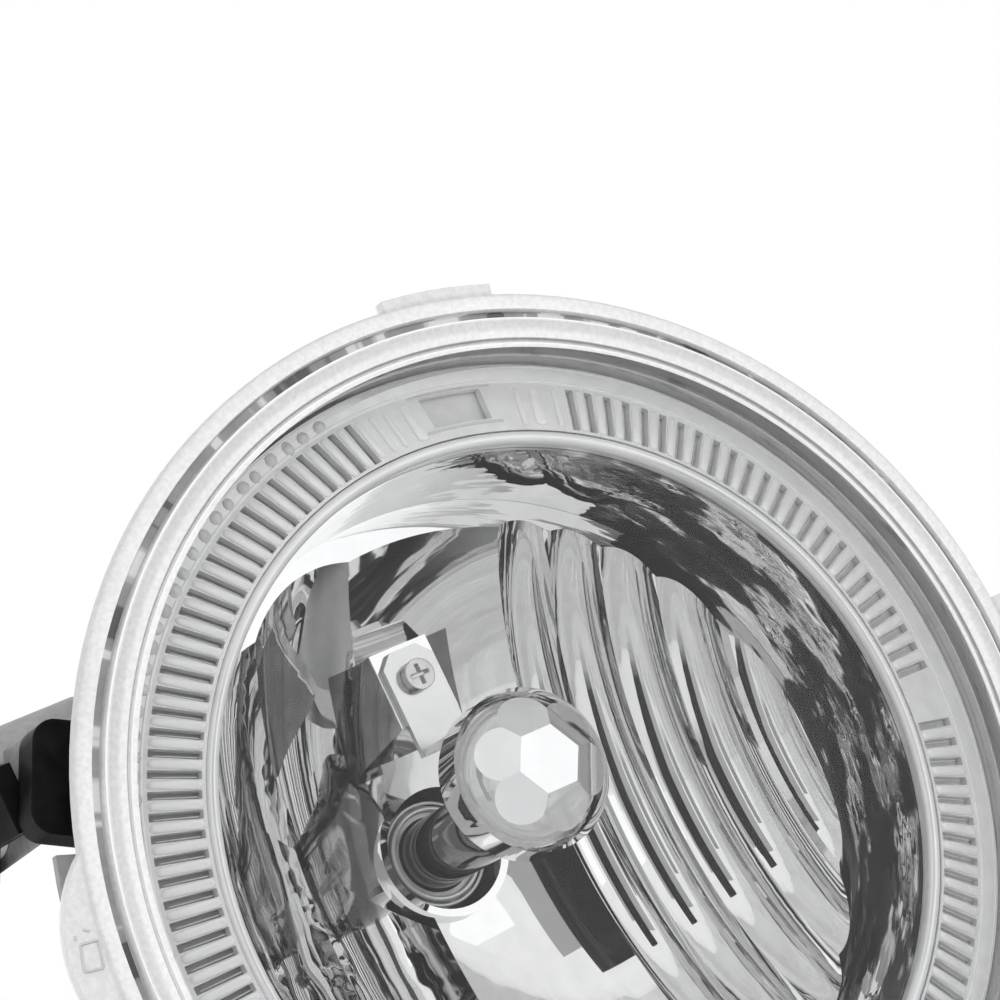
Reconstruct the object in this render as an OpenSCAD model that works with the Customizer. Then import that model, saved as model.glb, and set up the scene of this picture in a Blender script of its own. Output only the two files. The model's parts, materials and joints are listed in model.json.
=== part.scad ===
// Round fog light: clear lens, ribbed optic ring, fluted reflector, shielded bulb,
// cast housing tilting on two pivots in a steel bracket, with a screw adjuster.
// Frame: origin at the centre of the lens's flat front face, light leaves along -Y,
// +Z is up, +X is to the right of someone facing the lamp. Millimetres.

/* [Lens] */
// Radius of the lens rim
lens_r = 60; // [45:1:75]
// Radius of the flat clear face
face_r = 53.3; // [40:0.1:70]
// Thickness of the clear face
lens_t = 2.4; // [1.5:0.1:4]
// Depth of the lens rim behind the face
rim_back_y = 5; // [4:0.1:8]
// How far the left lug stands out from the rim
side_lug_out = 4; // [0:0.1:5]
// How far the other lugs stand out from the rim
end_lug_out = 1.2; // [0:0.1:3]
// Depth of the back of the lugs
lug_back_y = 2.8; // [2:0.1:4]

/* [Optic ring] */
// Inner end of the ribs
rib_in_r = 44.6; // [35:0.1:50]
// Outer end of the ribs
rib_out_r = 50.6; // [45:0.1:58]
// Rib places around the full circle
rib_count = 132; // [60:1:180]
// Width of the slot between two ribs
slot_w = 0.95; // [0.5:0.05:1.6]
// Drop of the ribbed band from its inner to its outer end
rib_drop = 2.3; // [0:0.1:4]

/* [Reflector] */
// Radius of the mouth behind the bead
mouth_r = 42.7; // [30:0.1:50]
// Depth of the bowl's edge
bowl_y = 18.9; // [10:0.1:30]
// Radius of the bowl's edge
bowl_r = 39.5; // [25:0.1:45]
// How far the bowl's centre sits below the lens centre
bowl_drop = 1.5; // [0:0.1:4]
// Depth of the bowl from its edge to its deepest point
bowl_depth = 18.5; // [10:0.1:30]
// Cutter radius of the narrow flutes
flute_r = 6; // [4:0.5:12]
// Depth of the narrow flutes
flute_cut = 0.8; // [0.2:0.1:2]
// Cutter radius of the wide facets
facet_r = 17; // [12:0.5:18]
// Depth of the wide facets
facet_cut = 1.4; // [0.5:0.1:2]

/* [Bulb and shield] */
// Height of the bulb axis above the lens centre
bulb_z = 4.9; // [-10:0.1:10]
// Radius of the bulb hole in the reflector
hole_r = 7.2; // [5:0.1:12]
// Radius of the glass capsule
glass_r = 4.25; // [3:0.05:6]
// Height of the shield centre above the lens centre
shield_z = 7.4; // [-5:0.1:12]
// Radius of the shield cap
shield_r = 9.45; // [6:0.05:14]

/* [Bracket] */
// Distance between the mounting holes along X
hole_dx = 92; // [70:1:120]
// Distance between the mounting holes along Z
hole_dz = 40; // [30:1:44]
// Height of the upper mounting holes, counted from the lens centre
hole_top_z = -6; // [-10:1:-4]
// Bore radius of the mounting sleeves
sleeve_r = 3.3; // [2.2:0.1:5.5]
// Thickness of the bracket sheet
sheet_t = 2.5; // [1.5:0.1:4]
// Height of the pivot axis above the lens centre
pivot_z = 30; // [10:0.5:35]
// Depth of the pivot axis behind the lens face
pivot_y = 30; // [20:0.5:40]
// Radius of the pivot bolt shank
pivot_r = 4; // [3:0.1:6]
// Distance of the adjuster axis below the lens centre
adjust_z = 60; // [50:0.5:75]
// Radius of the adjuster screw
adjust_r = 3; // [2:0.1:5]

/* [Hidden] */
$fn = 96;
fit = 0.05;
bowl_sphere_r = (bowl_r * bowl_r + bowl_depth * bowl_depth) / (2 * bowl_depth);
bowl_centre_y = bowl_y + bowl_depth - bowl_sphere_r;
rib_in_y = lens_t + 0.5;
ring_t = 1.2;
ledge_y = 8;
skirt_r = lens_r - 3.7;
boss_out_x = 53;
arm_in_x = boss_out_x + 1.1;
arm_out_x = arm_in_x + sheet_t;
frame_y = 60.9;
frame_back_y = frame_y + sheet_t;
seat_y = frame_back_y + 3;
neck_r = 15.6;
neck_bore_r = 11.6;
neck_end_y = 58;
base_r = 11.2;

// ---- helpers: everything round is turned about the Y direction ----

// Revolves points given as [radius, depth] about the Y axis.
module turned(points) {
    rotate([-90, 0, 0])
        rotate_extrude()
            polygon(points);
}

// Solid cylinder along Y from depth y0 to depth y1.
module rod(r, y0, y1) {
    translate([0, y0, 0])
        rotate([-90, 0, 0])
            cylinder(r = r, h = y1 - y0);
}

// Tube along Y.
module tube(r_out, r_in, y0, y1) {
    difference() {
        rod(r_out, y0, y1);
        rod(r_in, y0 - 1, y1 + 1);
    }
}

// A drawing in X and Z, extruded along Y from depth y0 to depth y1.
module slab(y0, y1) {
    translate([0, y1, 0])
        rotate([90, 0, 0])
            linear_extrude(y1 - y0)
                children();
}

// Box given by its two corners.
module block(a, b) {
    translate(a)
        cube(b - a);
}

// Pie slice between two angles, counted from +X towards +Z.
module slice(r, a0, a1) {
    mid = (a0 + a1) / 2;
    polygon([
        [0, 0],
        [r * cos(a0), r * sin(a0)],
        [1.2 * r * cos(mid), 1.2 * r * sin(mid)],
        [r * cos(a1), r * sin(a1)]
    ]);
}

// Cylinder along X from x0 to x1.
module cross_rod(r, x0, x1) {
    translate([x0, 0, 0])
        rotate([0, 90, 0])
            cylinder(r = r, h = x1 - x0);
}

module mirrored_x() {
    children();
    mirror([1, 0, 0])
        children();
}

// ---- lens and front trim ----

module lens_lug(a0, a1) {
    intersection() {
        tube(lens_r + end_lug_out, lens_r - 2, 1, lug_back_y);
        slab(0, rim_back_y + 1)
            slice(lens_r + 20, a0, a1);
    }
}

// Rounded lug at the left, where the lens carries its moulded marks.
module side_lug() {
    bulge_r = 16;
    difference() {
        rotate([0, -174, 0])
            translate([lens_r + side_lug_out - bulge_r, 0, 0])
                rod(bulge_r, 1, lug_back_y);
        rod(lens_r - 2, 0, rim_back_y + 1);
    }
}

module lens() {
    color("white") {
        turned([
            [0, 0], [face_r, 0], [face_r + 0.9, 0.45], [face_r + 1.1, 0.05],
            [lens_r - 3.4, -0.1], [lens_r - 3.1, 1.7], [lens_r - 2.2, 1.7],
            [lens_r - 1.9, 0.7], [lens_r - 0.4, 0.85], [lens_r, 1.25],
            [lens_r, 2.4], [lens_r - 1.6, rim_back_y], [skirt_r, rim_back_y],
            [skirt_r, ledge_y - 0.6], [face_r + 0.3, ledge_y - 0.6],
            [face_r + 0.3, lens_t + 0.8], [face_r - 1.5, lens_t], [0, lens_t]
        ]);
        side_lug();
        lens_lug(73.5, 86.5);
        lens_lug(-13.5, 3.5);
        lens_lug(253.5, 266.5);
    }
}

module lens_gasket() {
    color("black")
        tube(skirt_r - 0.1, face_r + 0.4, ledge_y - 0.55, ledge_y - 0.05);
}

// Slots between the ribs, left out where the ring has its plain windows.
module rib_slots() {
    step = 360 / rib_count;
    for (i = [0 : rib_count - 1]) {
        a = i * step;
        top_window = a > 64 && a < 95;
        side_window = a > 353 && a < 359;
        if (!top_window && !side_window)
            rotate(a)
                translate([(rib_in_r + rib_out_r) / 2, 0])
                    square([rib_out_r - rib_in_r - 0.5, slot_w], center = true);
    }
}

module optic_ring() {
    y0 = rib_in_y;
    y1 = rib_in_y + rib_drop;
    color("gainsboro")
        difference() {
            turned([
                [rib_in_r - 0.1, y0], [rib_out_r + 0.2, y1], [face_r - 0.3, y1],
                [face_r - 0.3, y1 + ring_t], [rib_out_r + 0.2, y1 + ring_t],
                [rib_in_r - 0.1, y0 + ring_t]
            ]);
            slab(0, 12)
                rib_slots();
            slab(0, 12)
                top_window();
        }
}

// Clear window in the plain part of the ring at the top.
module top_window() {
    intersection() {
        difference() {
            circle(rib_out_r - 0.4);
            circle(rib_in_r + 1.6);
        }
        slice(80, 75.5, 84.5);
    }
}

module bead_ring() {
    color("silver")
        rotate([-90, 0, 0])
            rotate_extrude() {
                translate([mouth_r + 0.95, lens_t + 0.95])
                    circle(0.75);
                translate([mouth_r + 0.3, lens_t + 0.95])
                    square([1.3, 1.25]);
            }
}

// ---- reflector ----

// Where one flute's round cutter sits in the bowl's section.
module flute_section(angle, r, cut) {
    reach = bowl_sphere_r - r + cut;
    rotate(angle)
        translate([reach, 0])
            circle(r);
}

// The bowl's section in a level plane: a circle with flutes and facets let into it.
module bowl_section() {
    intersection() {
        translate([0, -80])
            square([80, 160]);
        union() {
            circle(bowl_sphere_r);
            for (a = [-20.5, -27, -33.8, -41, -49])
                flute_section(a, flute_r, flute_cut);
            for (a = [14, 30, 46])
                flute_section(a, facet_r, facet_cut);
        }
    }
}

// The section turned about the X direction, so that every flute runs up and down.
module bowl_cutter() {
    translate([0, bowl_centre_y, -bowl_drop])
        rotate([0, -90, 0])
            rotate_extrude()
                bowl_section();
}

module shield_boss() {
    hull() {
        block([-3.9, 25.35, 18.6], [3.9, 25.45, 27.6]);
        block([-7.6, 37.4, 15.6], [7.6, 37.5, 27.6]);
    }
}

// Flange and side wall between the bead and the bowl.
module reflector_wall() {
    wall_r = mouth_r + 1.7;
    color("lightgray")
        turned([
            [mouth_r - 1.3, bowl_y - 0.05], [mouth_r, 4.7], [wall_r, 4.7],
            [rib_out_r + 0.2, 6.5], [face_r - 0.5, 6.5],
            [face_r - 0.5, ledge_y - 0.1], [wall_r, ledge_y - 0.1],
            [wall_r, bowl_y - 0.05]
        ]);
}

module bowl_blank() {
    rod(mouth_r + 1.7, bowl_y, bowl_y + 3);
    intersection() {
        rod(mouth_r + 1.7, bowl_y + 2, bowl_y + 40);
        translate([0, bowl_centre_y, -bowl_drop])
            sphere(bowl_sphere_r + 2.5);
    }
}

module reflector_bowl() {
    color("lightgray")
        difference() {
            union() {
                difference() {
                    bowl_blank();
                    bowl_cutter();
                }
                shield_boss();
                translate([0, 0, bulb_z])
                    rod(hole_r + 0.9, bowl_y + bowl_depth - 1.4, 44);
            }
            translate([0, 0, bulb_z])
                rod(hole_r, bowl_y, 60);
            translate([0, 0, 23.4])
                rod(1.25, 20, 33);
        }
}

// ---- bulb shield ----

module shield_cap() {
    ball_y = 14.9;
    color("silver")
        translate([0, 0, shield_z])
            difference() {
                intersection() {
                    union() {
                        translate([0, ball_y, 0])
                            sphere(11);
                        rod(shield_r, ball_y, 15);
                    }
                    rod(shield_r, 4.7, 13.6);
                    translate([0, 4.7, 0])
                        rotate([-90, 0, 0])
                            cylinder(r1 = 4, r2 = 22, h = 9, $fn = 6);
                }
                translate([0, ball_y, 0])
                    sphere(9.4);
                rod(shield_r - 0.7, 11.4, 15);
            }
}

module shield_arm() {
    color("silver")
        difference() {
            union() {
                block([-3.3, 12, 14.6], [3.3, 25.3, 15.3]);
                slab(24.5, 25.3)
                    polygon([
                        [-3.4, 14.6], [3.4, 14.6], [3.4, 25.4],
                        [1.8, 27], [-1.8, 27], [-3.4, 25.4]
                    ]);
            }
            translate([0, 0, 23.4])
                rod(1.3, 20, 30);
        }
}

module shield_screw() {
    color("gray")
        translate([0, 0, 23.4])
            difference() {
                union() {
                    rod(1.85, 23.2, 24.45);
                    rod(1.2, 24, 31);
                }
                block([-1.2, 23, -0.22], [1.2, 23.9, 0.22]);
                block([-0.22, 23, -1.2], [0.22, 23.9, 1.2]);
            }
}

// ---- bulb ----

module bulb_axis() {
    translate([0, 0, bulb_z])
        children();
}

module bulb_glass() {
    color("lightblue")
        bulb_axis()
            difference() {
                union() {
                    rod(glass_r, 24, 45.4);
                    translate([0, 24, 0])
                        sphere(glass_r);
                }
                rod(glass_r - 0.8, 24, 43.5);
                translate([0, 24, 0])
                    sphere(glass_r - 0.8);
            }
}

module filament() {
    color("dimgray")
        bulb_axis()
            rotate([-90, 0, 0])
                for (i = [0 : 5])
                    translate([0, 0, 26.4 + i * 0.8])
                        rotate_extrude()
                            translate([0.7, 0])
                                circle(0.25);
}

module filament_leads() {
    color("silver")
        bulb_axis() {
            translate([1.6, 0, 0])
                rod(0.35, 26.4, 43.4);
            translate([-1.6, 0, 0])
                rod(0.35, 30.4, 43.4);
            translate([0, 26.4, 0])
                cross_rod(0.3, 1, 1.7);
            translate([0, 30.4, 0])
                cross_rod(0.3, -1.7, -1);
        }
}

module bulb_collar() {
    color("dimgray")
        bulb_axis()
            turned([
                [glass_r + 0.25, 39], [glass_r + 0.9, 39], [glass_r + 0.9, 40.6],
                [6.2, 40.6], [6.2, 42.4], [glass_r + 0.25, 42.4]
            ]);
}

module bayonet_lugs(r, y0, y1, half, turn) {
    intersection() {
        rod(r, y0, y1);
        slab(y0 - 1, y1 + 1)
            for (a = [90, 210, 330])
                slice(r + 10, a - half + turn, a + half + turn);
    }
}

module connector_shell() {
    difference() {
        block([-10, 60, -6.5], [10, 80, 6.5]);
        block([-8, 66, -4.5], [8, 81, 4.5]);
    }
    block([-2, 62, 6.4], [2, 76, 8]);
}

module bulb_base() {
    color("dimgray")
        bulb_axis()
            difference() {
                union() {
                    rod(6.8, 42.5, 50);
                    rod(base_r, 49.5, 59);
                    rod(neck_r, neck_end_y + 0.4, 61);
                    bayonet_lugs(12.9, 53, 55, 7, 0);
                    connector_shell();
                    mirrored_x()
                        block([11.5, 60.9, -1.2], [14.5, 66, 1.2]);
                }
                tube(base_r + 1, 9.55, 55.8, 57.6);
                rod(glass_r + 0.15, 42, 45.5);
                mirrored_x()
                    block([3.1, 46, -1.45], [3.9, 67, 1.45]);
            }
}

module bulb_terminals() {
    color("silver")
        bulb_axis()
            mirrored_x()
                block([3.15, 48, -1.4], [3.85, 74, 1.4]);
}

module bulb_seal() {
    color("black")
        bulb_axis()
            translate([0, 56.7, 0])
                rotate([-90, 0, 0])
                    rotate_extrude()
                        translate([10.4, 0])
                            circle(0.8);
}

// ---- housing ----

module shell() {
    turned([
        [lens_r - 1.6, rim_back_y + 0.1], [lens_r - 2.1, 7],
        [lens_r - 2.8, 8.6], [53, 9.9],
        [49, 13.5], [47.4, 22], [45.7, 31], [39.8, 39.8], [29, 46.9],
        [17.6, 50], [0, 50], [0, 47.5], [17, 47.5], [28, 44.5], [38, 38],
        [43.5, 30], [45.2, 22], [45.2, ledge_y], [skirt_r + 0.3, ledge_y],
        [skirt_r + 0.3, rim_back_y + 0.1]
    ]);
}

// Ear on the flange, between the stop block and the lens lug.
module flange_ear() {
    intersection() {
        tube(lens_r + 0.7, lens_r - 3, 6.2, 7.4);
        slab(6, 9)
            slice(lens_r + 20, 10, 18.3);
    }
}

// Side boss: a raked block with the pivot's round pad.
module pivot_boss() {
    difference() {
        union() {
            slab(15.9, 37)
                polygon([
                    [36, 26], [50.3, 33.4], [boss_out_x, 28.3],
                    [boss_out_x, 22], [42, 24.3]
                ]);
            translate([0, pivot_y, pivot_z])
                cross_rod(6.8, 38, boss_out_x);
        }
        turned([[0, 0], [46, 0], [46, 22], [44.5, 30], [37, 39.5], [0, 39.5]]);
        translate([0, pivot_y, pivot_z])
            cross_rod(pivot_r + fit, 41, 60);
    }
}

module adjuster_ear() {
    difference() {
        block([-8, 24, -adjust_z - 7.5], [8, 32, -44.4]);
        translate([0, 0, -adjust_z])
            rod(4.5, 20, 40);
    }
}

module housing() {
    color("darkgray")
        difference() {
            union() {
                shell();
                mirrored_x() {
                    pivot_boss();
                    flange_ear();
                }
                adjuster_ear();
                bulb_axis()
                    rod(neck_r, 47, neck_end_y);
                translate([22, 0, -16])
                    rod(4, 45.5, 50.6);
            }
            bulb_axis() {
                rod(neck_bore_r, 40, 60);
                rod(13.4, 52.6, 55.4);
                bayonet_lugs(13.4, 55, 60, 9, 45);
            }
            translate([22, 0, -16])
                rod(1.5, 40, 55);
        }
}

module vent_cap() {
    color("black")
        translate([22, 0, -16])
            difference() {
                rod(5.4, 49.2, 53.4);
                tube(4.4, 0, 49, 52);
                for (a = [0 : 60 : 300])
                    rotate([0, a, 0])
                        block([3, 49, -0.6], [7, 50.4, 0.6]);
            }
}

module adjuster_nut() {
    color("white")
        translate([0, 0, -adjust_z])
            difference() {
                union() {
                    rod(4.4, 23.9, 33);
                    rod(6.4, 22.4, 23.9);
                }
                rod(adjust_r + 0.65, 20, 40);
            }
}

// ---- adjuster screw, held in the bracket's tongue by its collar and head ----

module adjuster_screw() {
    color("silver")
        translate([0, 0, -adjust_z])
            difference() {
                union() {
                    rod(adjust_r, 17, frame_back_y + 1);
                    rod(5.5, 58, frame_y - 0.3);
                    translate([0, frame_back_y + 0.3, 0])
                        rotate([-90, 0, 0])
                            cylinder(r = 6, h = 5.5, $fn = 6);
                }
                block([-0.6, frame_back_y + 4, -3.5], [0.6, frame_back_y + 7, 3.5]);
                block([-3.5, frame_back_y + 4, -0.6], [3.5, frame_back_y + 7, 0.6]);
            }
}

// ---- bracket ----

// Rear plate: a beam with the adjuster's tongue, and a post up each side.
module rear_plate() {
    polygon([
        [-arm_out_x, -50], [-50, -56.5], [-12, -56.5], [-12, -68], [-8, -72],
        [8, -72], [12, -68], [12, -56.5], [50, -56.5], [arm_out_x, -50],
        [arm_out_x, 36], [48, 36], [48, 9], [36, 4], [36, -28], [28, -36],
        [-28, -36], [-36, -28], [-36, 4], [-48, 9], [-48, 36], [-arm_out_x, 36]
    ]);
}

// Side arm, wide at the rear frame and narrow where the stop block sits.
module arm() {
    difference() {
        translate([arm_in_x, 0, 0])
            rotate([90, 0, 90])
                linear_extrude(sheet_t)
                    polygon([
                        [15, 23.5], [27, 24], [31, 21], [frame_y + 0.1, 6],
                        [frame_y + 0.1, 36], [42, 36], [35, 38.5], [26, 38], [20, 32],
                        [15, 31]
                    ]);
        translate([0, pivot_y, pivot_z])
            cross_rod(pivot_r + fit, arm_in_x - 1, arm_out_x + 1);
    }
    block([boss_out_x + 0.3, 12.2, 23.6], [arm_in_x + 0.5, 17, 26.4]);
}

module at_holes() {
    for (x = [-hole_dx / 2, hole_dx / 2])
        for (z = [hole_top_z - hole_dz, hole_top_z])
            translate([x, 0, z])
                children();
}

module mount_bracket() {
    color("dimgray") {
        difference() {
            slab(frame_y, frame_back_y)
                rear_plate();
            at_holes()
                rod(6.5, frame_y - 1, frame_back_y + 1);
            translate([0, 0, -adjust_z])
                rod(adjust_r + fit, frame_y - 1, frame_back_y + 1);
        }
        mirrored_x()
            arm();
    }
}

// Rounded block that caps the arm's bent front end and stops the lamp's boss.
// It is drawn lying along the lens rim: first outward, then along the rim.
module stop_block() {
    wide = 6.8;
    tall = 12.7;
    r = 2.6;
    difference() {
        rotate([0, -27.5, 0])
            slab(10.4, 14.9)
                translate([54.5, -6.2]) {
                    square([wide - r, tall]);
                    translate([0, r])
                        square([wide, tall - 2 * r]);
                    translate([wide - r, r])
                        circle(r);
                    translate([wide - r, tall - r])
                        circle(r);
                }
        block([boss_out_x + 0.2, 12.1, 23.5], [arm_in_x + 0.6, 16, 26.5]);
    }
}

module stop_block_left() {
    color("black")
        mirror([1, 0, 0])
            stop_block();
}

module stop_block_right() {
    color("black")
        stop_block();
}

module pivot_bolts() {
    color("silver")
        mirrored_x()
            translate([0, pivot_y, pivot_z]) {
                cross_rod(pivot_r, 42, arm_out_x + 0.1);
                cross_rod(7.5, arm_out_x + 0.05, arm_out_x + 1.2);
                translate([arm_out_x + 1.1, 0, 0])
                    rotate([0, 90, 0])
                        cylinder(r = 6.5, h = 3.6, $fn = 6);
            }
}

module pivot_washers() {
    color("white")
        mirrored_x()
            translate([0, pivot_y, pivot_z])
                difference() {
                    cross_rod(6.7, boss_out_x + 0.1, arm_in_x - 0.1);
                    cross_rod(pivot_r + 0.3, 50, 60);
                }
}

module bracket_bushes() {
    color("black")
        at_holes()
            turned([
                [4.9, frame_y - 2.9], [8.5, frame_y - 2.9], [8.5, frame_y - 0.05],
                [6.4, frame_y - 0.05], [6.4, frame_back_y + 0.05],
                [8.5, frame_back_y + 0.05], [8.5, seat_y - 0.1], [4.9, seat_y - 0.1]
            ]);
}

module bracket_sleeves() {
    color("silver")
        at_holes()
            tube(4.8, sleeve_r, frame_y - 3, seat_y);
}

lens();
lens_gasket();
optic_ring();
bead_ring();
reflector_wall();
reflector_bowl();
shield_cap();
shield_arm();
shield_screw();
bulb_glass();
filament();
filament_leads();
bulb_collar();
bulb_base();
bulb_terminals();
bulb_seal();
housing();
vent_cap();
adjuster_nut();
adjuster_screw();
mount_bracket();
stop_block_left();
stop_block_right();
pivot_bolts();
pivot_washers();
bracket_bushes();
bracket_sleeves();
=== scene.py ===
import json
import math
import random

import bmesh
import bpy
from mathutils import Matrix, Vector

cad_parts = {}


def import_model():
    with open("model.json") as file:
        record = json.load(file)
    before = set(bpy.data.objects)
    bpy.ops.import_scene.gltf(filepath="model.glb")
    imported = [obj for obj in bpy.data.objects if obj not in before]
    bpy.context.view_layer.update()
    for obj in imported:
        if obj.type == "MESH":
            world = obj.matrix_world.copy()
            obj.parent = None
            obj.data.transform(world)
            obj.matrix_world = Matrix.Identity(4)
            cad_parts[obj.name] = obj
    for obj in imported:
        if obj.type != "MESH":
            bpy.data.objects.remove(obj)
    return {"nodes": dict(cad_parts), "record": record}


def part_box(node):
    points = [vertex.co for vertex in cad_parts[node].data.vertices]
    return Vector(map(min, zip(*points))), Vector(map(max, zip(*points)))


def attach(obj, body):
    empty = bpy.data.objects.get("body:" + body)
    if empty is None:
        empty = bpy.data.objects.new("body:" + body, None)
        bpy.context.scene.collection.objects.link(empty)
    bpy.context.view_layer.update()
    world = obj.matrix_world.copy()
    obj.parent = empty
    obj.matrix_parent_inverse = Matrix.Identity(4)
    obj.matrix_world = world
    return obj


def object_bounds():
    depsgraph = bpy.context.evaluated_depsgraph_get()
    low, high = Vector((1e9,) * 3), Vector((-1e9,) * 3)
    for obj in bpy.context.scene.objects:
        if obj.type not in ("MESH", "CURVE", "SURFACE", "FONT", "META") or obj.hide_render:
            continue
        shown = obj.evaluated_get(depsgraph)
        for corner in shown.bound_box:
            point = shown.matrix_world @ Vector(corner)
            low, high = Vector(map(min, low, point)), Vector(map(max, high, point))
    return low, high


# Studio view of the round fog light: materials, moulded details, light and camera.
# Metres. The light leaves along -Y, +Z is up, +X is to the right facing the lamp.

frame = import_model()
CAD_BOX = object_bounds()
MM = 0.001


def half_width(node):
    low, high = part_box(node)
    return (high[0] - low[0]) / 2


def centre(node):
    low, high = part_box(node)
    return Vector([(a + b) / 2 for a, b in zip(low, high)])


# Radii of the front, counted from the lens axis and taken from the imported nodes.
RING_R = half_width("optic_ring")
BEAD_R = half_width("bead_ring")
RIM_R = half_width("lens_gasket") + 3.8 * MM
FACE_R = RING_R + 0.3 * MM
RIB_IN_R = BEAD_R + 0.2 * MM
RIB_OUT_R = RING_R - 2.4 * MM
RIB_MIDDLE_R = (RIB_IN_R + RIB_OUT_R) / 2

# Depths of the ring's ribbed slope and of the flat land outside it.
RIB_IN_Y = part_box("optic_ring")[0][1]
LAND_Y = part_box("optic_ring")[1][1] - 1.2 * MM

# Ribs round the full circle, and the arcs in degrees that have none.
RIB_COUNT = 132
RIB_GAPS = ((63.0, 96.0), (352.0, 360.0))


# ---- small helpers for node trees -------------------------------------------------

class Tree:
    """A material's node tree with short calls for the nodes used here."""

    def __init__(self, name):
        self.material = bpy.data.materials.new(name)
        self.material.use_nodes = True
        self.tree = self.material.node_tree
        self.tree.nodes.clear()
        self.output = self.tree.nodes.new("ShaderNodeOutputMaterial")

    def node(self, kind, **settings):
        made = self.tree.nodes.new("ShaderNode" + kind)
        for key, value in settings.items():
            setattr(made, key, value)
        return made

    def link(self, source, target):
        self.tree.links.new(source, target)

    def feed(self, socket, value):
        if isinstance(value, bpy.types.NodeSocket):
            self.link(value, socket)
        else:
            socket.default_value = value

    def math(self, operation, a, b=0.0):
        made = self.node("Math", operation=operation)
        self.feed(made.inputs[0], a)
        self.feed(made.inputs[1], b)
        return made.outputs[0]

    def position(self):
        return self.node("TexCoord").outputs["Object"]

    def xyz(self):
        split = self.node("SeparateXYZ")
        self.link(self.position(), split.inputs[0])
        return split.outputs

    def combine(self, x=0.0, y=0.0, z=0.0):
        made = self.node("CombineXYZ")
        for socket, value in zip(made.inputs, (x, y, z)):
            self.feed(socket, value)
        return made.outputs[0]

    def radius(self):
        """Distance from the lens axis."""
        x, _, z = self.xyz()
        length = self.node("VectorMath", operation="LENGTH")
        self.link(self.combine(x, z), length.inputs[0])
        return length.outputs["Value"]

    def round_axis(self, turns, depth):
        """Position as angle around the lens axis and depth, each with its own scale."""
        x, y, z = self.xyz()
        angle = self.math("ARCTAN2", z, x)
        return self.combine(self.math("MULTIPLY", angle, turns), self.math("MULTIPLY", y, depth))

    def noise(self, scale, detail=4.0, rough=0.55, vector=None):
        made = self.node("TexNoise")
        self.link(vector or self.position(), made.inputs["Vector"])
        made.inputs["Scale"].default_value = scale
        made.inputs["Detail"].default_value = detail
        made.inputs["Roughness"].default_value = rough
        return made.outputs["Fac"]

    def remap(self, value, low, high, out_low=0.0, out_high=1.0):
        made = self.node("MapRange")
        self.feed(made.inputs["Value"], value)
        made.inputs["From Min"].default_value = low
        made.inputs["From Max"].default_value = high
        made.inputs["To Min"].default_value = out_low
        made.inputs["To Max"].default_value = out_high
        return made.outputs[0]

    def colours(self, value, stops):
        made = self.node("ValToRGB")
        self.feed(made.inputs[0], value)
        ramp = made.color_ramp
        while len(ramp.elements) < len(stops):
            ramp.elements.new(0.5)
        for element, (place, colour) in zip(ramp.elements, stops):
            element.position = place
            element.color = (*colour, 1.0)
        return made.outputs[0]

    def blend(self, fac, a, b, mode="MIX"):
        made = self.node("Mix", data_type="RGBA", blend_type=mode)
        self.feed(made.inputs[0], fac)
        self.feed(made.inputs[6], a)
        self.feed(made.inputs[7], b)
        return made.outputs[2]

    def bump(self, height, strength, distance=0.0002, edge=0.0):
        """Bump from a height, over edges that are rounded by the given radius."""
        made = self.node("Bump")
        self.feed(made.inputs["Height"], height)
        made.inputs["Strength"].default_value = strength
        made.inputs["Distance"].default_value = distance
        if edge:
            rounded = self.node("Bevel", samples=6)
            rounded.inputs["Radius"].default_value = edge
            self.link(rounded.outputs[0], made.inputs["Normal"])
        return made.outputs[0]

    def surface(self, shader):
        self.link(shader, self.output.inputs["Surface"])
        return self.material

    def principled(self, colour, rough, metal=0.0, normal=None, **extra):
        made = self.node("BsdfPrincipled")
        self.feed(made.inputs["Base Color"], colour)
        self.feed(made.inputs["Roughness"], rough)
        self.feed(made.inputs["Metallic"], metal)
        if normal is not None:
            self.link(normal, made.inputs["Normal"])
        for key, value in extra.items():
            self.feed(made.inputs[key.replace("_", " ")], value)
        return made.outputs[0]

    def mix(self, fac, a, b):
        made = self.node("MixShader")
        self.feed(made.inputs[0], fac)
        self.link(a, made.inputs[1])
        self.link(b, made.inputs[2])
        return made.outputs[0]


def grey(level):
    return (level, level, level)


# ---- materials --------------------------------------------------------------------

def painted_rim_bands(t, r):
    """The rim's grey bands, from the step round the clear face to the outer edge: its pale frosted tone with
    painted highlights and painted shade lines for the light on its mouldings.
    """
    # Radius in millimetres and grey level, from the inside out.
    painted_band_levels = (
        (53.2, 0.92), (53.8, 0.99), (54.15, 0.86), (54.32, 0.26), (54.5, 0.95), (55.1, 0.94),
        (55.6, 0.76), (56.4, 0.70), (56.7, 0.98), (56.95, 0.60), (57.9, 0.60), (58.1, 0.95),
        (58.9, 0.92), (59.5, 0.86), (59.9, 0.66), (60.4, 0.80),
    )
    inner, outer = 53.0, 60.8
    stops = [((radius - inner) / (outer - inner), grey(level)) for radius, level in painted_band_levels]
    return t.colours(t.remap(r, inner * MM, outer * MM), stops)


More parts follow.
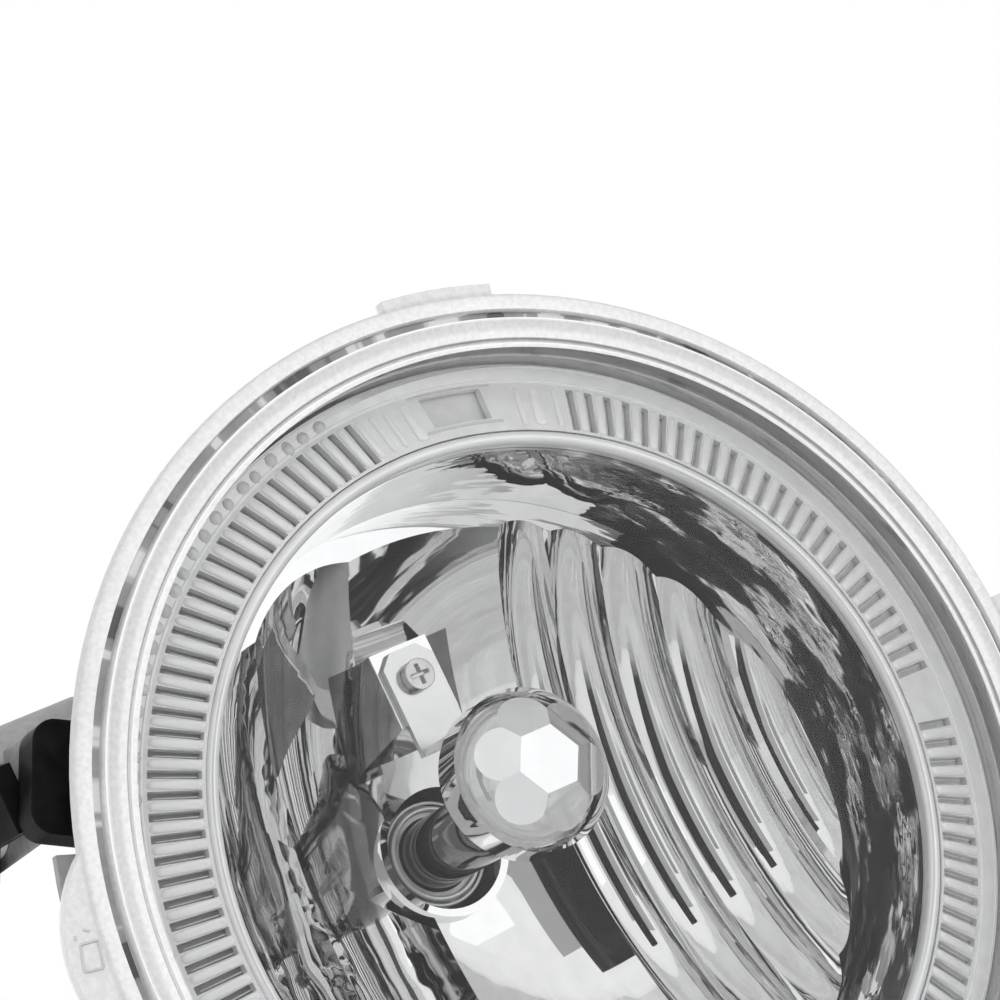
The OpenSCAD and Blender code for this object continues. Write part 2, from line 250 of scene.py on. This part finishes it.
def lens_material():
    """Clear flat face; outside it the moulded, grained rim with painted bands of highlight and shade, and
    its groove with painted dark reflections.
    """
    groove_in_r = 56.95 * MM
    groove_out_r = 57.9 * MM
    face_back_y = 2.42 * MM
    rim_cover = 0.9
    t = Tree("clear_polycarbonate")
    r = t.radius()
    _, y, _ = t.xyz()
    fresnel = t.node("Fresnel")
    fresnel.inputs["IOR"].default_value = 1.5
    clear = t.node("BsdfTransparent")
    tint = t.colours(t.noise(40.0, 2.0), [(0.3, (0.975, 0.978, 0.98)), (0.7, (0.99, 0.99, 0.992))])
    t.link(tint, clear.inputs["Color"])
    gloss = t.node("BsdfGlossy")
    gloss.inputs["Roughness"].default_value = 0.02
    face = t.mix(t.math("MULTIPLY", fresnel.outputs[0], 0.5), clear.outputs[0], gloss.outputs[0])

    speckle = t.colours(t.noise(1500.0, 3.0), [(0.38, grey(0.90)), (0.62, grey(1.0))])
    drift = t.colours(t.noise(45.0, 2.0), [(0.35, grey(0.93)), (0.65, grey(1.0))])
    # The rim's painted highlight and shade bands, times random speckle and drift.
    shade = t.blend(1.0, painted_rim_bands(t, r), speckle, "MULTIPLY")
    shade = t.blend(1.0, shade, drift, "MULTIPLY")
    grain = t.bump(t.noise(1500.0, 3.0), 0.45, 0.00012)
    frosted = t.principled(shade, 0.4, normal=grain, IOR=1.5)

    drawn = t.noise(1.0, 3.0, vector=t.round_axis(9.0, 700.0))
    # The groove's dark patches are painted dark reflections in its colour.
    painted_reflection_stops = [(0.40, grey(0.10)), (0.43, grey(0.34)), (0.55, grey(0.42)), (0.58, grey(0.92))]
    groove = t.principled(t.colours(drawn, painted_reflection_stops), 0.12, IOR=1.5)
    past_inner = t.math("GREATER_THAN", r, groove_in_r)
    in_groove = t.math("MULTIPLY", past_inner, t.math("LESS_THAN", r, groove_out_r))
    rim = t.mix(in_groove, frosted, groove)

    wall_stops = [(0.32, grey(0.62)), (0.42, grey(0.92)), (0.66, grey(0.98))]
    inside_wall = t.principled(t.colours(drawn, wall_stops), 0.2, IOR=1.5)
    behind = t.math("GREATER_THAN", y, face_back_y)
    rim = t.mix(behind, rim, inside_wall)
    through = t.node("BsdfTransparent")
    rim = t.mix(rim_cover, through.outputs[0], rim)
    on_face = t.math("LESS_THAN", r, FACE_R)
    return t.surface(t.mix(on_face, rim, face))


def chrome(name, rough=0.03, tint=0.92):
    """Bright metallised coating with a faint orange-peel wave and thin haze."""
    t = Tree(name)
    colour = t.colours(t.noise(220.0, 3.0), [(0.3, grey(tint - 0.05)), (0.7, grey(tint))])
    roughness = t.remap(t.noise(40.0, 2.0), 0.3, 0.7, rough * 0.5, rough)
    wave = t.bump(t.noise(60.0, 2.0), 0.05, 0.0002)
    return t.surface(t.principled(colour, roughness, 1.0, wave))


def bowl_material():
    """The bowl's coating, with a painted dark reflection on the flanks of the shield's boss."""
    t = Tree("bowl_chrome")
    _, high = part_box("shield_arm")
    x, y, z = t.xyz()
    bright = t.colours(t.noise(220.0, 3.0), [(0.3, grey(0.87)), (0.7, grey(0.92))])
    # Painted dark reflection for the flanks of the shield's boss, set inside the box below.
    painted_dark_reflection = t.colours(t.noise(300.0, 3.0), [(0.3, grey(0.20)), (0.7, grey(0.30))])
    beside_foot = 0.55 * MM
    boss_half_width = 8.0 * MM
    boss_depth = 10.5 * MM
    boss_height = 11.6 * MM
    limits = ((t.math("ABSOLUTE", x), high[0] + beside_foot, boss_half_width),
              (y, high[1] + 0.1 * MM, high[1] + boss_depth),
              (z, high[2] - boss_height, high[2] + beside_foot))
    inside = 1.0
    for value, least, most in limits:
        within = t.math("MULTIPLY", t.math("GREATER_THAN", value, least), t.math("LESS_THAN", value, most))
        inside = t.math("MULTIPLY", within, inside)
    colour = t.blend(inside, bright, painted_dark_reflection)
    # The coating wrinkles towards the lower left.
    low_left = t.remap(t.math("ADD", x, z), -8 * MM, -34 * MM)
    wrinkle = t.math("MULTIPLY", t.noise(95.0, 1.5), low_left)
    wave = t.bump(wrinkle, 0.8, 0.0012)
    roughness = t.remap(t.noise(40.0, 2.0), 0.3, 0.7, 0.015, 0.03)
    return t.surface(t.principled(colour, roughness, 1.0, wave))


def wall_material():
    """Side wall, drawn out along the mouth, with painted dark reflection streaks towards the right, and the
    flange behind the ring's slots with painted shade.
    """
    t = Tree("drawn_chrome")
    colour = t.colours(t.noise(220.0, 3.0), [(0.3, grey(0.84)), (0.7, grey(0.90))])
    # Towards the right the colour carries dark streaks: painted dark reflections.
    x, _, _ = t.xyz()
    dark_reflection_streak = t.noise(1.0, 3.0, 0.6, vector=t.round_axis(2.4, 210.0))
    painted_streak_mask = t.math("MULTIPLY", t.remap(dark_reflection_streak, 0.46, 0.50), t.remap(x, 2 * MM, 30 * MM))
    colour = t.blend(painted_streak_mask, colour, t.colours(dark_reflection_streak, [(0.50, grey(0.05)), (0.60, grey(0.012))]))
    drawn = t.noise(1.0, 2.5, 0.5, vector=t.round_axis(4.5, 270.0))
    wall = t.principled(colour, 0.015, 1.0, t.bump(drawn, 0.2, 0.0004))
    # Painted shade: the flange behind the slots is painted darker on the left and lighter towards the right.
    across = t.remap(x, -30 * MM, 35 * MM)
    painted_flange_shade = t.colours(across, [(0.0, grey(0.40)), (0.4, grey(0.62)), (0.7, grey(0.88)), (1.0, grey(0.92))])
    mottle = t.colours(t.noise(700.0, 3.0), [(0.3, grey(0.9)), (0.7, grey(1.0))])
    painted_flange_shade = t.blend(1.0, painted_flange_shade, mottle, "MULTIPLY")
    flange = t.principled(painted_flange_shade, 0.5)
    on_flange = t.math("GREATER_THAN", t.radius(), BEAD_R - 0.4 * MM)
    return t.surface(t.mix(on_flange, wall, flange))


def bead_material():
    """Polished bead round the mouth, brighter than the rest of the trim."""
    t = Tree("polished_bead")
    colour = t.colours(t.noise(200.0, 3.0), [(0.3, grey(0.93)), (0.7, grey(0.98))])
    return t.surface(t.principled(colour, 0.18, 0.35, t.bump(t.noise(300.0, 2.0), 0.04)))


def ring_material(name, low, high, rough):
    """Satin moulding of the optic ring."""
    t = Tree(name)
    colour = t.colours(t.noise(500.0, 4.0), [(0.3, grey(low)), (0.7, grey(high))])
    normal = t.bump(t.noise(800.0, 3.0), 0.12, 0.0001)
    return t.surface(t.principled(colour, rough, 0.15, normal, Coat_Weight=0.4, Coat_Roughness=0.08))


def rubber_material():
    t = Tree("black_rubber")
    colour = t.colours(t.noise(420.0, 5.0), [(0.3, grey(0.004)), (0.75, grey(0.012))])
    normal = t.bump(t.noise(1600.0, 4.0), 0.15, 0.0001, edge=0.5 * MM)
    rough = t.remap(t.noise(90.0, 3.0), 0.3, 0.7, 0.36, 0.5)
    return t.surface(t.principled(colour, rough, normal=normal, Specular_IOR_Level=0.08))


def plated_material(name, level, rough):
    t = Tree(name)
    stretch = t.node("Mapping")
    stretch.inputs["Scale"].default_value = (1.0, 12.0, 1.0)
    t.link(t.position(), stretch.inputs["Vector"])
    brushed = t.noise(500.0, 4.0, vector=stretch.outputs[0])
    colour = t.colours(brushed, [(0.3, grey(level * 0.82)), (0.7, grey(level))])
    normal = t.bump(brushed, 0.12, 0.0001, edge=0.2 * MM)
    roughness = t.remap(t.noise(150.0, 3.0), 0.3, 0.7, rough, rough + 0.14)
    return t.surface(t.principled(colour, roughness, 1.0, normal))


def cast_material():
    """Die-cast alloy: pitted skin with slow changes in shade."""
    t = Tree("cast_alloy")
    broad = t.colours(t.noise(60.0, 4.0), [(0.3, grey(0.30)), (0.7, grey(0.42))])
    fine = t.colours(t.noise(900.0, 4.0), [(0.3, grey(0.82)), (0.7, grey(1.0))])
    colour = t.blend(1.0, broad, fine, "MULTIPLY")
    pits = t.bump(t.noise(1100.0, 5.0), 0.35, 0.00015, edge=0.6 * MM)
    rough = t.remap(t.noise(200.0, 4.0), 0.3, 0.7, 0.40, 0.56)
    return t.surface(t.principled(colour, rough, 0.6, pits))


def plastic_material(name, dark, light, rough):
    t = Tree(name)
    colour = t.colours(t.noise(350.0, 5.0), [(0.3, grey(dark)), (0.72, grey(light))])
    normal = t.bump(t.noise(1300.0, 4.0), 0.2, 0.0001, edge=0.3 * MM)
    roughness = t.remap(t.noise(120.0, 3.0), 0.3, 0.7, rough, rough + 0.15)
    return t.surface(t.principled(colour, roughness, normal=normal))


def paint_material():
    """Satin black paint over steel sheet, with a faint orange peel."""
    t = Tree("black_painted_steel")
    colour = t.colours(t.noise(240.0, 4.0), [(0.3, grey(0.004)), (0.7, grey(0.011))])
    normal = t.bump(t.noise(700.0, 3.0), 0.18, 0.00012, edge=0.4 * MM)
    roughness = t.remap(t.noise(100.0, 3.0), 0.3, 0.7, 0.32, 0.46)
    return t.surface(t.principled(colour, roughness, normal=normal, Specular_IOR_Level=0.05))


def bulb_glass_material():
    t = Tree("bulb_glass")
    fresnel = t.node("Fresnel")
    fresnel.inputs["IOR"].default_value = 1.47
    clear = t.node("BsdfTransparent")
    tint = t.colours(t.noise(120.0, 3.0), [(0.3, grey(0.92)), (0.7, grey(0.99))])
    t.link(tint, clear.inputs["Color"])
    gloss = t.node("BsdfGlossy")
    gloss.inputs["Roughness"].default_value = 0.03
    shine = t.math("MULTIPLY_ADD", fresnel.outputs[0], 1.6)
    shine.node.inputs[2].default_value = 0.10
    return t.surface(t.mix(shine, clear.outputs[0], gloss.outputs[0]))


def brass_material():
    t = Tree("brass_blades")
    colour = t.colours(t.noise(400.0, 4.0), [(0.3, (0.50, 0.42, 0.22)), (0.7, (0.70, 0.62, 0.38))])
    roughness = t.remap(t.noise(150.0, 3.0), 0.3, 0.7, 0.2, 0.34)
    return t.surface(t.principled(colour, roughness, 1.0))


SLOT_MATERIALS = {
    "clear_polycarbonate": lens_material(),
    "metallised_plastic": ring_material("metallised_plastic", 0.84, 0.93, 0.3),
    "bright_chrome": chrome("bright_chrome"),
    "black_rubber": rubber_material(),
    "plated_steel": plated_material("plated_steel", 0.74, 0.2),
    "dark_steel": plated_material("dark_steel", 0.5, 0.3),
    "tungsten": plated_material("tungsten", 0.5, 0.3),
    "bulb_glass": bulb_glass_material(),
    "dark_plastic": plastic_material("dark_plastic", 0.045, 0.085, 0.42),
    "white_plastic": plastic_material("white_plastic", 0.60, 0.76, 0.38),
    "cast_alloy": cast_material(),
    "black_painted_steel": paint_material(),
    "brass_blades": brass_material(),
}
WALL_MATERIAL = wall_material()
BEAD_MATERIAL = bead_material()
RIB_MATERIAL = ring_material("clear_ribs", 0.93, 0.98, 0.16)
PEBBLE_MATERIAL = ring_material("ring_pebbles", 0.62, 0.80, 0.3)
BOWL_MATERIAL = bowl_material()
ARM_MATERIAL = chrome("satin_chrome", 0.22, 0.74)
SEAT_MATERIAL = ring_material("bulb_seat", 0.50, 0.66, 0.25)


def dress(node, material):
    mesh = frame["nodes"][node].data
    mesh.materials.clear()
    mesh.materials.append(material)


def dress_nodes():
    """Gives every carried-over node the material of its slot, then the trim its own."""
    for entry in frame["record"]["subparts"]:
        dress(entry["node"], SLOT_MATERIALS[entry["material_slot"]])
    dress("reflector_wall", WALL_MATERIAL)
    dress("bead_ring", BEAD_MATERIAL)
    dress("reflector_bowl", BOWL_MATERIAL)
    dress("shield_arm", ARM_MATERIAL)
    dress("bulb_collar", SEAT_MATERIAL)


# ---- pieces -----------------------------------------------------------------------

def piece(name, mesh_maker, material, body):
    """Adds a mesh piece that moves with a body and takes the given material."""
    mesh = bpy.data.meshes.new(name)
    work = bmesh.new()
    mesh_maker(work)
    bmesh.ops.recalc_face_normals(work, faces=work.faces)
    work.to_mesh(mesh)
    work.free()
    mesh.polygons.foreach_set("use_smooth", [True] * len(mesh.polygons))
    mesh.materials.append(material)
    made = bpy.data.objects.new(name, mesh)
    bpy.context.scene.collection.objects.link(made)
    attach(made, body)
    return made


def grid(work, rows, closed_row=False, closed_column=False):
    """Skins rows of points with quads."""
    verts = [[work.verts.new(point) for point in row] for row in rows]
    row_count = len(verts) - (0 if closed_column else 1)
    point_count = len(verts[0]) - (0 if closed_row else 1)
    for i in range(row_count):
        for j in range(point_count):
            after_i = (i + 1) % len(verts)
            after_j = (j + 1) % len(verts[0])
            work.faces.new((verts[i][j], verts[i][after_j], verts[after_i][after_j], verts[after_i][j]))
    return verts


def pillow(work, place, along, across, out, length, width, height, blunt=0.8):
    """A closed bar with a rounded back: blunt is how much of its length keeps full width."""
    reach = [-1.0, -0.97, -0.9, -blunt, blunt, 0.9, 0.97, 1.0]
    arc = [math.radians(a) for a in range(0, 360, 30)]
    rows = []
    for u in reach:
        past = max(0.0, abs(u) - blunt) / (1.0 - blunt)
        narrow = max(0.06, math.sqrt(max(0.0, 1.0 - past * past)))
        row = []
        for a in arc:
            side = across * math.cos(a) * width / 2
            lift = out * max(math.sin(a), -0.12) * height
            row.append(place + along * u * length / 2 + (side + lift) * narrow)
        rows.append(row)
    verts = grid(work, rows, closed_row=True)
    work.faces.new(verts[0])
    work.faces.new(verts[-1])


def radial(angle):
    """Unit vectors outward and along the rim at an angle from +X towards +Z."""
    a = math.radians(angle)
    return Vector((math.cos(a), 0.0, math.sin(a))), Vector((-math.sin(a), 0.0, math.cos(a)))


def slope_frame(angle):
    """The ribbed band's directions at an angle: down the slope, along the rim, and out of it."""
    outward, along_rim = radial(angle)
    down = outward * (RIB_OUT_R - RIB_IN_R) + Vector((0, LAND_Y - RIB_IN_Y, 0))
    down.normalize()
    front = down.cross(along_rim)
    if front.y > 0:
        front.negate()
    return down, along_rim, front


def rib_angles(offset):
    """Angles of the ribs or slots, leaving out the ring's plain windows."""
    step = 360.0 / RIB_COUNT
    for i in range(RIB_COUNT):
        angle = (i + offset) * step
        if not any(low < angle < high for low, high in RIB_GAPS):
            yield angle


def band_point(angle, r):
    """A point on the ribbed slope's front."""
    outward, _ = radial(angle)
    share = (r - RIB_IN_R) / (RIB_OUT_R - RIB_IN_R)
    return outward * r + Vector((0, RIB_IN_Y + share * (LAND_Y - RIB_IN_Y), 0))


def rib_crowns(work):
    """Rounded bars between the slots, each standing proud of the ring."""
    for angle in rib_angles(0.5):
        down, along_rim, front = slope_frame(angle)
        place = band_point(angle, RIB_MIDDLE_R)
        pillow(work, place, down, along_rim, front, 6.0 * MM, 1.15 * MM, 0.36 * MM)


def slot_rails(work):
    """Thin bar on one flank of each slot."""
    aside = 0.22
    for slot_angle in rib_angles(0.0):
        angle = slot_angle + aside
        down, along_rim, front = slope_frame(angle)
        place = band_point(angle, RIB_MIDDLE_R) - front * 0.45 * MM
        pillow(work, place, down, along_rim, front, 5.0 * MM, 0.16 * MM, 0.12 * MM)


def ring_pebbles(work):
    """Uneven flat drops in a row outside the ribs, along the left half."""
    chance = random.Random(7)
    first, last = 98.0, 232.0
    for angle in rib_angles(0.25):
        if not first < angle < last:
            continue
        outward, along_rim = radial(angle + chance.uniform(-0.3, 0.3))
        place = outward * (RIB_OUT_R + chance.uniform(1.05, 1.45) * MM) + Vector((0, LAND_Y, 0))
        lean = (along_rim + outward * chance.uniform(-0.5, 0.5)).normalized()
        square = lean.cross(Vector((0, 1, 0)))
        length, width = chance.uniform(1.4, 1.8) * MM, chance.uniform(1.2, 1.9) * MM
        pillow(work, place, square, lean, Vector((0, -1, 0)), length, width, 0.3 * MM, 0.35)


def window_posts(work):
    """Moulded posts and a curb round the plain window at the top of the ring."""
    # Angle in degrees and width in millimetres of each post.
    posts = ((94.2, 0.9), (92.0, 0.7), (90.0, 0.7), (87.0, 1.4), (70.6, 0.8), (68.0, 1.5), (65.0, 0.8))
    for angle, width in posts:
        down, along_rim, front = slope_frame(angle)
        pillow(work, band_point(angle, RIB_MIDDLE_R), down, along_rim, front, 5.4 * MM, width * MM, 0.3 * MM)
    curb_start = 74.0
    curb_span = 12.0
    overlapped_span = 12.6
    steps = 14
    for r in (RIB_IN_R + 1.2 * MM, RIB_OUT_R - 0.1 * MM):
        for i in range(steps):
            angle = curb_start + curb_span * (i + 0.5) / steps
            down, along_rim, front = slope_frame(angle)
            length = r * math.radians(overlapped_span / steps)
            pillow(work, band_point(angle, r), along_rim, down, front, length, 0.3 * MM, 0.2 * MM, 0.9)


def ring_trim(work, r, y, wire_r, turn=192):
    """A thin round moulding right round the lens axis."""
    rows = []
    for i in range(turn):
        outward, _ = radial(360.0 * i / turn)
        row = []
        for j in range(8):
            a = math.radians(45.0 * j)
            row.append(outward * (r + wire_r * math.cos(a)) + Vector((0, y + wire_r * math.sin(a), 0)))
        rows.append(row)
    grid(work, rows, closed_row=True, closed_column=True)


def ring_steps(work):
    """Two fine round steps on the land outside the ribs."""
    for step_out in (0.45 * MM, 2.1 * MM):
        ring_trim(work, RIB_OUT_R + step_out, LAND_Y, 0.13 * MM)


def lens_steps(work):
    """Fine mouldings that edge the groove and the band inside it."""
    for r, y in ((FACE_R + 0.55 * MM, 0.35 * MM), (RIM_R - 3.3 * MM, 0.1 * MM)):
        ring_trim(work, r, y, 0.16 * MM)


def lug_marks(work):
    """Small plain mouldings on the left lug: a frame and two dashes."""
    def bar(x, z, length, tilt):
        a = math.radians(tilt)
        along = Vector((math.cos(a), 0, math.sin(a)))
        across = Vector((-math.sin(a), 0, math.cos(a)))
        place = Vector((x * MM, 1.0 * MM, z * MM))
        pillow(work, place, along, across, Vector((0, -1, 0)), length * MM, 0.3 * MM, 0.22 * MM, 0.9)
    # Place, length and tilt of each bar: four for the frame, then the dashes.
    bars = (
        (-60.7, 8.95, 2.1, -6), (-61.5, 6.1, 2.3, -10), (-60.05, 7.35, 3.1, 76), (-62.15, 7.7, 3.0, 72),
        (-60.4, 10.2, 0.8, -30), (-61.9, 9.9, 0.5, 60),
    )
    for x, z, length, tilt in bars:
        bar(x, z, length, tilt)


def adjuster_thread(work):
    """Thread along the adjuster screw, from its front end to its collar."""
    low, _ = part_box("adjuster_screw")
    axis = Vector((0, 0, centre("adjuster_screw").z))
    pitch = 2.0 * MM
    root_r = 2.85 * MM
    crest_r = 2.95 * MM
    rise = 0.16 * MM
    start = low[1] + 1.0 * MM
    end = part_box("mount_bracket")[1][1] - 6.5 * MM
    per_turn = 28
    steps = int((end - start) / pitch * per_turn)
    rows = []
    for i in range(steps + 1):
        outward, _ = radial(360.0 * i / per_turn)
        y = start + pitch * i / per_turn
        fade = min(1.0, i / per_turn, (steps - i) / per_turn)
        crest = crest_r + rise * fade
        profile = ((root_r, -0.75), (crest, -0.12), (crest, 0.12), (root_r, 0.75))
        rows.append([axis + outward * r + Vector((0, y + share * MM, 0)) for r, share in profile])
    verts = grid(work, rows, closed_row=True)
    work.faces.new(verts[0])
    work.faces.new(verts[-1])


def wire(work, points, wire_r):
    """A round wire through points, with closed ends."""
    rows = []
    for i, point in enumerate(points):
        ahead = points[min(i + 1, len(points) - 1)] - points[max(i - 1, 0)]
        turn = ahead.to_track_quat("Z", "Y").to_matrix()
        row = []
        for j in range(8):
            a = math.radians(45.0 * j)
            row.append(point + turn @ Vector((wire_r * math.cos(a), wire_r * math.sin(a), 0)))
        rows.append(row)
    verts = grid(work, rows, closed_row=True)
    work.faces.new(verts[0])
    work.faces.new(verts[-1])


def bulb_wirework(work):
    """Support frame and getter wires inside the glass capsule."""
    z = centre("bulb_glass").z
    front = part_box("filament")[0][1]
    frame_wire_r = 0.2 * MM
    frame_front = front - 0.6 * MM
    for x in (-1.9 * MM, 1.9 * MM):
        wire(work, [Vector((x, frame_front, z)), Vector((x, front + 9 * MM, z))], frame_wire_r)
    for y in (frame_front, front + 3.4 * MM, front + 8.8 * MM):
        wire(work, [Vector((-2.0 * MM, y, z)), Vector((2.0 * MM, y, z))], frame_wire_r)
    loop_r = 2.3
    loop_steps = 24
    for turn in range(3):
        loop = []
        for i in range(loop_steps + 1):
            outward, _ = radial(360.0 / loop_steps * i)
            loop.append(outward * loop_r * MM + Vector((0, front + (10.5 + turn) * MM, z)))
        wire(work, loop, 0.13 * MM)


def seat_rings(work):
    """Stepped rings that line the bulb's neck behind the reflector's hole."""
    z = centre("bulb_glass").z
    collar_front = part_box("bulb_collar")[0][1]
    # Radius, y from the collar's front face and thickness, in millimetres.
    for r, y, wire_r in ((5.35, -0.4, 0.3), (6.1, -0.1, 0.22)):
        rows = []
        for i in range(64):
            outward, _ = radial(360.0 * i / 64)
            row = []
            for j in range(8):
                a = math.radians(45.0 * j)
                spoke = outward * (r + wire_r * math.cos(a)) * MM
                row.append(spoke + Vector((0, collar_front + (y + wire_r * math.sin(a)) * MM, z)))
            rows.append(row)
        grid(work, rows, closed_row=True, closed_column=True)


def add_pieces():
    steel = SLOT_MATERIALS["plated_steel"]
    piece("rib_crowns", rib_crowns, RIB_MATERIAL, "lamp")
    piece("slot_rails", slot_rails, PEBBLE_MATERIAL, "lamp")
    piece("ring_pebbles", ring_pebbles, PEBBLE_MATERIAL, "lamp")
    piece("window_posts", window_posts, RIB_MATERIAL, "lamp")
    piece("ring_steps", ring_steps, RIB_MATERIAL, "lamp")
    piece("lens_steps", lens_steps, RIB_MATERIAL, "lamp")
    piece("lug_marks", lug_marks, PEBBLE_MATERIAL, "lamp")
    piece("adjuster_thread", adjuster_thread, steel, "adjuster")
    piece("bulb_wirework", bulb_wirework, BEAD_MATERIAL, "bulb")
    piece("seat_rings", seat_rings, BEAD_MATERIAL, "bulb")


# ---- stage, light and camera ------------------------------------------------------

FLOOR_Z = CAD_BOX[0][2]
FLOOR_TONE = 0.85
CARD_DISTANCE = 0.7

# Cards that the coatings reflect: name, azimuth, spread and elevation of the top in
# degrees, where the strip on the floor starts in metres, and tone.
CARDS = (
    ("front", -1.0, 18.0, 32.0, 0.05, 0.012),
    ("front_left", -16.5, 13.0, 28.0, 0.06, 0.42),
    ("camera_side", -30.0, 8.0, 18.0, 0.17, 0.32),
    ("front_right", 11.0, 6.0, 24.0, 0.2, 0.40),
    ("softbox", 28.0, 16.0, 12.0, 0.5, 1.25),
    ("right", 48.0, 5.0, 45.0, 0.1, 0.10),
    ("far_right", 66.0, 6.0, 30.0, 0.3, 0.30),
    ("left", -62.0, 5.0, 40.0, 0.25, 0.50),
    ("far_left", -82.0, 10.0, 16.0, 0.3, 0.5),
)


def stage_mesh(name, corners, faces, material):
    mesh = bpy.data.meshes.new(name)
    mesh.from_pydata(corners, [], faces)
    mesh.materials.append(material)
    made = bpy.data.objects.new(name, mesh)
    bpy.context.scene.collection.objects.link(made)
    return made


def glow(name, shade):
    """An even studio tone for the things that only the coatings see."""
    t = Tree(name)
    light = t.node("Emission")
    tone = t.colours(t.noise(3.0, 2.0), [(0.3, grey(shade * 0.92)), (0.7, grey(shade))])
    t.link(tone, light.inputs["Color"])
    return t.surface(light.outputs[0])


def floor():
    t = Tree("pale_floor")
    shade = 0.88
    tone = t.colours(t.noise(3.0, 2.0), [(0.3, grey(shade * 0.9)), (0.7, grey(shade))])
    half = 4.0
    corners = [(x * half, y * half, FLOOR_Z) for x, y in ((-1, -1), (1, -1), (1, 1), (-1, 1))]
    stage_mesh("floor", corners, [(0, 1, 2, 3)], t.surface(t.principled(tone, 0.6)))


def only_in_gloss(made):
    """Keeps a stage piece to reflections: it lights, shades and covers nothing."""
    made.visible_camera = False
    made.visible_diffuse = False
    made.visible_shadow = False
    made.visible_transmission = False


def heading(azimuth):
    """Level unit vector, with azimuth 0 straight in front of the lamp and + to the right."""
    a = math.radians(azimuth)
    return Vector((math.sin(a), -math.cos(a), 0))


def card(name, azimuth, spread, top, shade):
    """An upright card that stands on the floor and reaches up to the elevation top."""
    left = heading(azimuth - spread / 2) * CARD_DISTANCE
    right = heading(azimuth + spread / 2) * CARD_DISTANCE
    rise = Vector((0, 0, CARD_DISTANCE * math.tan(math.radians(top))))
    drop = Vector((0, 0, FLOOR_Z))
    corners = [left + drop, right + drop, right + rise, left + rise]
    only_in_gloss(stage_mesh(name, corners, [(0, 1, 2, 3)], glow(name, shade)))


def fade(name, near, shade):
    """A tone that starts as the floor's and reaches its own at twice the distance."""
    t = Tree(name)
    x, y, _ = t.xyz()
    reach = t.node("VectorMath", operation="LENGTH")
    t.link(t.combine(x, y), reach.inputs[0])
    share = t.remap(reach.outputs["Value"], near, near * 2.0)
    light = t.node("Emission")
    t.link(t.colours(share, [(0.0, grey(FLOOR_TONE)), (1.0, grey(shade))]), light.inputs["Color"])
    return t.surface(light.outputs[0])


def runner(name, azimuth, spread, near, shade):
    """A strip on the floor that carries a card's tone towards the lamp."""
    lift = Vector((0, 0, FLOOR_Z + 0.5 * MM))
    left = heading(azimuth - spread / 2)
    right = heading(azimuth + spread / 2)
    ends = ((left, near), (right, near), (right, CARD_DISTANCE), (left, CARD_DISTANCE))
    corners = [side * reach + lift for side, reach in ends]
    only_in_gloss(stage_mesh(name, corners, [(0, 1, 2, 3)], fade(name, near, shade)))


def dome():
    """The studio's bright surround and its floor, as the coatings see them."""
    radius = 3.0
    around = 48
    up = 12
    level = [heading(360.0 * i / around) * radius for i in range(around)]
    corners = []
    for j in range(up + 1):
        elevation = math.radians(90.0 * j / up)
        rise = Vector((0, 0, FLOOR_Z + radius * math.sin(elevation)))
        corners += [point * math.cos(elevation) + rise for point in level]
    faces = []
    for j in range(up):
        low, high = j * around, (j + 1) * around
        for i in range(around):
            after = (i + 1) % around
            faces.append((low + i, low + after, high + after, high + i))
    only_in_gloss(stage_mesh("dome", corners, faces, glow("dome", 1.0)))
    lift = Vector((0, 0, FLOOR_Z + 0.2 * MM))
    rim = [point + lift for point in level]
    only_in_gloss(stage_mesh("dome_floor", rim, [tuple(range(around))], glow("dome_floor", FLOOR_TONE)))


def cards():
    """Dark, grey and bright cards round the front, each with a strip on the floor."""
    for name, azimuth, spread, top, near, shade in CARDS:
        card("card_" + name, azimuth, spread, top, shade)
        runner("runner_" + name, azimuth, spread, near, shade)


def world():
    made = bpy.data.worlds.new("studio")
    made.use_nodes = True
    background = made.node_tree.nodes["Background"]
    background.inputs["Color"].default_value = (1.0, 1.0, 1.0, 1.0)
    background.inputs["Strength"].default_value = 1.0
    bpy.context.scene.world = made


def emitter(name, place, size, power):
    """A square area light, aimed at the lens's centre and left out of reflections."""
    light = bpy.data.lights.new(name, "AREA")
    light.size = size
    light.energy = power
    lamp = bpy.data.objects.new(name, light)
    lamp.location = place
    lamp.rotation_euler = (-Vector(place)).to_track_quat("-Z", "Y").to_euler()
    lamp.visible_glossy = False
    bpy.context.scene.collection.objects.link(lamp)


def camera():
    lens = bpy.data.cameras.new("camera")
    lens.sensor_width = 36.0
    lens.lens = 180.0
    lens.clip_start = 0.01
    lens.clip_end = 50.0
    made = bpy.data.objects.new("camera", lens)
    made.location = (-0.26939, -0.47447, -0.02459)
    made.rotation_euler = (math.radians(96.922), math.radians(25.518), math.radians(-27.125))
    bpy.context.scene.collection.objects.link(made)
    bpy.context.scene.camera = made


dress_nodes()
add_pieces()
floor()
dome()
cards()
world()
emitter("key", (-0.5, -0.8, 0.9), 0.9, 2.0)
emitter("softbox", (0.36, -0.70, 0.05), 0.2, 0.35)
camera()
bpy.context.scene.view_settings.view_transform = "Standard"
